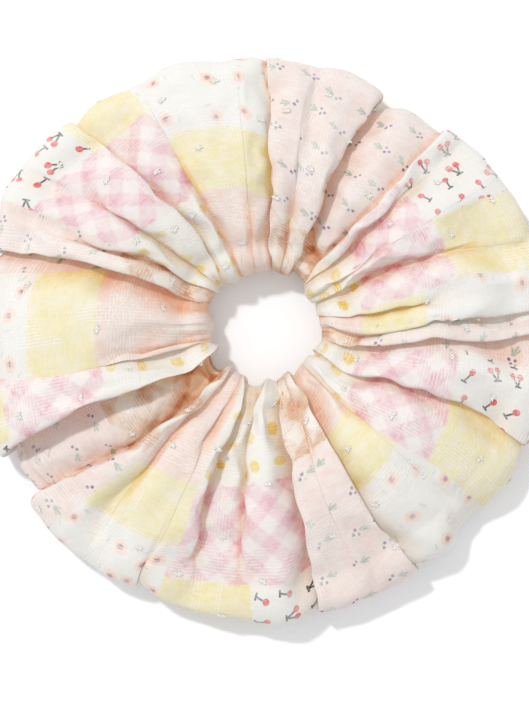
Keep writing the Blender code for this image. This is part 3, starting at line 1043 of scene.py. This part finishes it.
def cover_normals(cloth, points, faces):
    """Smooth normals that agree where the tube closes on itself."""
    rows, columns = cloth.u.shape
    normals = normals_of(blur_points(points, 1.2).reshape(-1, 3), faces)
    seam = normals.reshape(rows, columns, 3)
    shared = seam[0] + seam[-1]
    shared /= np.linalg.norm(shared, axis=1, keepdims=True)
    seam[0] = seam[-1] = shared
    return normals


def cover_angles(points, faces, columns):
    """Each face's angle from the seam, below 0 or over 360 where the strip's ends pass it."""
    angles = angle_of(points[faces].mean(axis=1))
    column = (faces[:, 0] % columns) / columns
    angles = np.where((column < 0.25) & (angles > 180), angles - 360, angles)
    return np.where((column > 0.75) & (angles < 180), angles + 360, angles)


def make_cover(cloth, points):
    rows, columns = cloth.u.shape
    faces = quads(point_grid(rows, columns))
    strip = np.stack([cloth.u, from_border(cloth), fold_painted_shade(cloth)], axis=-1).reshape(-1, 3)
    flat = points.reshape(-1, 3)
    normals = cover_normals(cloth, points, faces)
    angles = cover_angles(flat, faces, columns)
    thickness = pressed_thickness(points).ravel()
    material = cloth_material()
    tufts = Tufts(cloth, points, normals)
    for suffix, low, high, body in ring_ranges():
        chosen = faces[(angles >= low) & (angles < high)]
        used, local = used_points(chosen)
        skin, skin_faces, skin_normals = thicken(flat[used], local, normals[used],
                                                 thickness[used])
        tuft_points, tuft_faces = tufts.on_piece(low, high)
        tuft_faces = [tuple(len(skin) + i for i in face) for face in tuft_faces]
        # -1 marks the tufts: white yarn with a faint painted glow, and no painted fold shade
        tuft_white_and_glow = np.zeros_like(tuft_points)
        tuft_white_and_glow[:, 2] = -1.0
        item = new_mesh_object(f"gathered_cover_{suffix}", np.concatenate([skin, tuft_points]),
                               skin_faces.tolist() + tuft_faces, material,
                               np.concatenate([skin_normals, 0 * tuft_points]),
                               np.concatenate([strip[used], strip[used], tuft_white_and_glow]))
        settle_in_frame(item, low, body, "cover")


def fibre(start, along, up, length, width):
    """A soft flattened strand that lies on the cloth and lifts towards its end."""
    side = np.cross(along, up)
    points = []
    for t, wide in FIBRE_PROFILE:
        middle = start + along * (length * t) + up * (0.14 * MM + 0.16 * length * t * t)
        across, thick = side * width * wide, up * 0.3 * width
        points += [middle + across, middle - across, middle + thick]
    faces = [(0, 1, 2), (11, 10, 9)]
    for k in (0, 3, 6):
        faces += [(k + i, k + 3 + i, k + 3 + (i + 1) % 3, k + (i + 1) % 3) for i in range(3)]
    return points, faces


class Tufts:
    """The white tufts of yarn woven into the cloth, where it shows."""

    def __init__(self, cloth, points, normals):
        rows, columns = cloth.u.shape
        random = np.random.RandomState(11)
        section = cloth.section
        self.made = []
        places = []
        normals = normals.reshape(rows, columns, 3)
        tries = 0
        while len(self.made) < TUFTS and tries < TUFT_TRIES:
            tries += 1
            row = random.randint(section.hole_row + 8, section.rim_row + 8)
            column = random.randint(3, columns - 30)
            place = np.array([cloth.u[row, column], cloth.v[row, column]])
            shows = cloth.fold[row, column] == 0 and section.radius[row] > random.uniform(10, 85)
            if not shows or any(np.hypot(*(place - other)) < TUFT_SPACING for other in places):
                continue
            places.append(place)
            here, up = points[row, column], normals[row, column]
            along = points[row, column + 2] - points[row, column - 2]
            along -= up * np.dot(along, up)
            along /= np.linalg.norm(along)
            self.made.append((here, self.tuft(here, along, up, random)))

    def tuft(self, here, along, up, random):
        across = np.cross(up, along)
        points, faces = [], []
        for k in range(FIBRES):
            angle = 2 * math.pi * (k + random.uniform(-0.4, 0.4)) / FIBRES
            out = along * math.cos(angle) + across * math.sin(angle) * 0.75
            length = random.uniform(0.8, 1.7) * MM
            more_points, more_faces = fibre(here + out * 0.1 * MM, out, up, length,
                                            FIBRE_WIDTH * MM)
            faces += [tuple(len(points) + i for i in face) for face in more_faces]
            points += more_points
        return np.array(points), faces

    def on_piece(self, low, high):
        """Points and faces of the tufts from one angle to another."""
        points, faces = np.zeros((0, 3)), []
        for here, (some_points, some_faces) in self.made:
            if low <= angle_of(here[None])[0] < high:
                faces += [tuple(len(points) + i for i in face) for face in some_faces]
                points = np.concatenate([points, some_points])
        return points, faces


def lowest(values, reach, axis):
    """Least value within reach on either side, where the ends count as neighbours."""
    best = values.copy()
    for shift in range(1, reach + 1):
        for step in (shift, -shift):
            best = np.minimum(best, np.roll(values, step, axis=axis))
    return best


def fold_painted_shade(cloth):
    """How much painted shade the cloth gets, from 0 to 1, by how deep it lies below its surroundings.

    Creases are painted darker, more saturated and warmer, with a painted glow, for light gone from cloth to
    cloth.
    """
    near_hole = (1 - smoothstep(cloth.section.reach / 0.7))[:, None]
    closest = (1 - smoothstep(cloth.section.reach / 0.35))[:, None]
    around = lowest(lowest(cloth.depth, 9, 1), 2, 0)
    wider = lowest(around, 24, 1)
    around = around + (wider - around) * closest
    below = cloth.depth - blur_rows(blur_columns(around, 4), 2)
    painted_shade = smoothstep((below - 1.0) / (7.0 - 3.6 * near_hole)) * (0.75 + 0.2 * near_hole)
    painted_shade_amount = np.maximum(painted_shade, 0.55 * smoothstep(cloth.fold / 0.8))
    # less painted shade on the tucked end, which comes into the light when the ring is stretched
    columns = painted_shade_amount.shape[1]
    return painted_shade_amount * (1 - 0.6 * smoothstep((np.arange(columns) - columns + TUCK) / 4))


# --- elastic and thread ------------------------------------------------------------------------

def ring_of_section(section_at, steps):
    """A closed band round the ring: section_at gives the section's (radius, height) points in
    millimetres at each angle in degrees from the closing seam."""
    rings = []
    for angle in np.linspace(0, 360, steps + 1):
        turned = math.radians(angle + SEAM_ANGLE)
        section = section_at(angle)
        rings.append([(r * math.cos(turned), r * math.sin(turned), z) for r, z in section])
    points = np.array(rings) * MM
    count = points.shape[1]
    grid = point_grid(steps + 1, count)
    faces = quads(np.concatenate([grid, grid[:, :1]], axis=1))
    angles = np.repeat((np.arange(steps) + 0.5) * 360 / steps, count)
    arc = np.linspace(0, 360, steps + 1) * math.pi / 180 * ELASTIC_RADIUS
    strip = np.stack([np.repeat(arc, count), np.tile(points[0, :, 2] / MM, steps + 1),
                      np.zeros(len(arc) * count)], axis=-1)
    return points.reshape(-1, 3), faces, angles, strip


def make_ring(name, replaced, section_at, steps, material):
    points, faces, angles, strip = ring_of_section(section_at, steps)
    for suffix, low, high, body in ring_ranges():
        used, local = used_points(faces[(angles >= low) & (angles < high)])
        item = new_mesh_object(f"{name}_{suffix}", points[used], local, material,
                               strip=strip[used])
        settle_in_frame(item, low, body, replaced)


def herringbone(tree):
    """Fine white yarns that cross the elastic's ribs."""
    u, v, _ = strip_terms(tree)
    return wave(u + v, 0.7) * wave(u - v, 0.7) * 0.5 + 0.5


def bands(tree, direction, scale, distortion):
    """Light and dark bands in the piece's own space."""
    place = tree.nodes.new("ShaderNodeTexCoord")
    texture = tree.nodes.new("ShaderNodeTexWave")
    texture.bands_direction = direction
    texture.inputs["Scale"].default_value = scale
    texture.inputs["Distortion"].default_value = distortion
    tree.links.new(place.outputs["Object"], texture.inputs["Vector"])
    return Term(tree, texture.outputs["Fac"])


def yarn_material(name, pattern, dark, light, strength, distance, roughness, sheen=0.0):
    """Yarn whose colour and relief follow one pattern, a function of the node tree."""
    material, tree, shader = new_material(name)
    yarn = pattern(tree)
    tree.links.new(blend_colour(tree, dark, light, yarn), shader.inputs["Base Color"])
    add_bump(tree, shader, yarn, strength, distance)
    shader.inputs["Roughness"].default_value = roughness
    shader.inputs["Sheen Weight"].default_value = sheen
    return material


def elastic_section(angle):
    """Braided elastic: ribs along both faces, and edges that the gathers pull into waves."""
    lift = 0.12 * math.sin(math.radians(angle * 36))
    around = np.linspace(0, 1, ELASTIC_RIBS * 6, endpoint=False)
    height = ELASTIC_HEIGHT + lift + (around - 0.5) * ELASTIC_WIDTH
    bulge = ELASTIC_BULGE * np.abs(np.sin(around * ELASTIC_RIBS * math.pi))
    edge = np.clip(np.minimum(around, 1 - around) / 0.06, 0, 1) ** 0.5
    half = (ELASTIC_THICKNESS / 2 - ELASTIC_BULGE) * edge + bulge * edge
    outer = list(zip(ELASTIC_RADIUS + half, height))
    inner = list(zip(ELASTIC_RADIUS - half, height))[::-1]
    return outer + inner


def thread_section(angle):
    """Two plies twisted round each other."""
    turn = math.radians(angle * SEAM_RADIUS * math.pi / 180 / THREAD_TWIST * 360)
    out = []
    for k in range(10):
        t = 2 * math.pi * k / 10
        size = 0.26 + 0.12 * abs(math.cos(t - turn))
        out.append((SEAM_RADIUS + size * math.cos(t), THREAD_HEIGHT + size * math.sin(t)))
    return out


def make_closing_seam(cloth, points, material):
    """Running stitches down in the closing fold, where the strip's start is sewn to its end."""
    edge = points[:-1, CLOSING_COLUMN]
    edge = np.concatenate([edge, edge[:1]])
    inward = points[:-1, CLOSING_COLUMN + 2] - points[:-1, CLOSING_COLUMN - 1]
    length = np.concatenate([[0], np.cumsum(np.linalg.norm(np.diff(edge, axis=0), axis=1))])
    out_points, out_faces = [], []
    begin = 0.0
    while begin + STITCH < length[-1]:
        ends = [np.array([np.interp(t, length, edge[:, i]) for i in range(3)])
                for t in (begin, begin + STITCH)]
        along = (ends[1] - ends[0]) / np.linalg.norm(ends[1] - ends[0])
        row = min(int(np.searchsorted(length, begin)), len(inward) - 1)
        lift = np.cross(along, inward[row])
        lift /= np.linalg.norm(lift)
        side = np.cross(along, lift)
        base = len(out_points)
        for t, size in STITCH_PROFILE:
            middle = ends[0] + (ends[1] - ends[0]) * t + lift * 0.12 * MM * math.sin(math.pi * t)
            for k in range(STITCH_SIDES):
                turn = 2 * math.pi * k / STITCH_SIDES
                around = lift * math.cos(turn) + side * math.sin(turn)
                out_points.append(middle + around * STITCH_RADIUS * size * MM)
        rings = point_grid(len(STITCH_PROFILE), STITCH_SIDES) + base
        tube = np.concatenate([rings, rings[:, :1]], axis=1)
        out_faces += quads(tube.T).tolist() + [rings[0, ::-1].tolist(), rings[-1].tolist()]
        begin += STITCH * 1.25
    item = new_mesh_object("closing_seam_stitching", out_points, out_faces, material)
    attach(item, "sector_01")
    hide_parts("closing_seam_thread")


cloth = Cloth(Section())
cloth_points = cloth.settle(Simulation(cloth, cloth.shape()).run())

elastic_colours = linear(216, 214, 208), linear(246, 245, 241)
covered_elastic = yarn_material("covered_elastic", herringbone, *elastic_colours,
                                0.6, 0.15, 0.7, 0.1)
# the carried-over lap end has no place on the strip, so its ribs lie in its own space
lap_elastic = yarn_material("covered_elastic_lap", lambda tree: bands(tree, "Z", 420.0, 0.6),
                            *elastic_colours, 0.6, 0.15, 0.7)
sewing_thread = yarn_material("sewing_thread", lambda tree: bands(tree, "DIAGONAL", 900.0, 1.5),
                              linear(220, 217, 210), linear(248, 246, 241), 0.4, 0.1, 0.55)

make_ring("elastic_band", "elastic", elastic_section, 540, covered_elastic)
make_ring("seam_stitching", "seam_thread", thread_section, 1080, sewing_thread)
make_cover(cloth, cloth_points)
make_closing_seam(cloth, cloth_points, sewing_thread)
for node, material in (("elastic_lap_end", lap_elastic), ("elastic_lap_stitching", sewing_thread)):
    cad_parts[node].data.materials.clear()
    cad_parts[node].data.materials.append(material)

# --- floor, light and camera -------------------------------------------------------------------

bpy.ops.mesh.primitive_plane_add(size=3)
floor = bpy.context.object
floor.name = "floor"
floor_material, _, floor_shader = new_material("floor")
floor_shader.inputs["Base Color"].default_value = (0.955, 0.965, 0.985, 1)
floor.data.materials.append(floor_material)

world = bpy.data.worlds.new("studio")
world.use_nodes = True
background = world.node_tree.nodes["Background"]
background.inputs["Color"].default_value = (1, 1, 1, 1)
background.inputs["Strength"].default_value = 0.8
bpy.context.scene.world = world
key = bpy.data.lights.new("key", "SUN")
key.energy = 1.5
key.angle = math.radians(5)
lamp = bpy.data.objects.new("key", key)
lamp.rotation_euler = Vector((0.42, -0.5, -0.9)).to_track_quat("-Z", "Y").to_euler()
bpy.context.scene.collection.objects.link(lamp)

camera_data = bpy.data.cameras.new("camera")
camera_data.sensor_width = 36
camera_data.lens = 194
camera_data.sensor_fit = "HORIZONTAL"
camera = bpy.data.objects.new("camera", camera_data)
camera.location = (0, -0.0115, 0.9)
bpy.context.scene.collection.objects.link(camera)
bpy.context.scene.camera = camera
bpy.context.scene.view_settings.view_transform = "Standard"
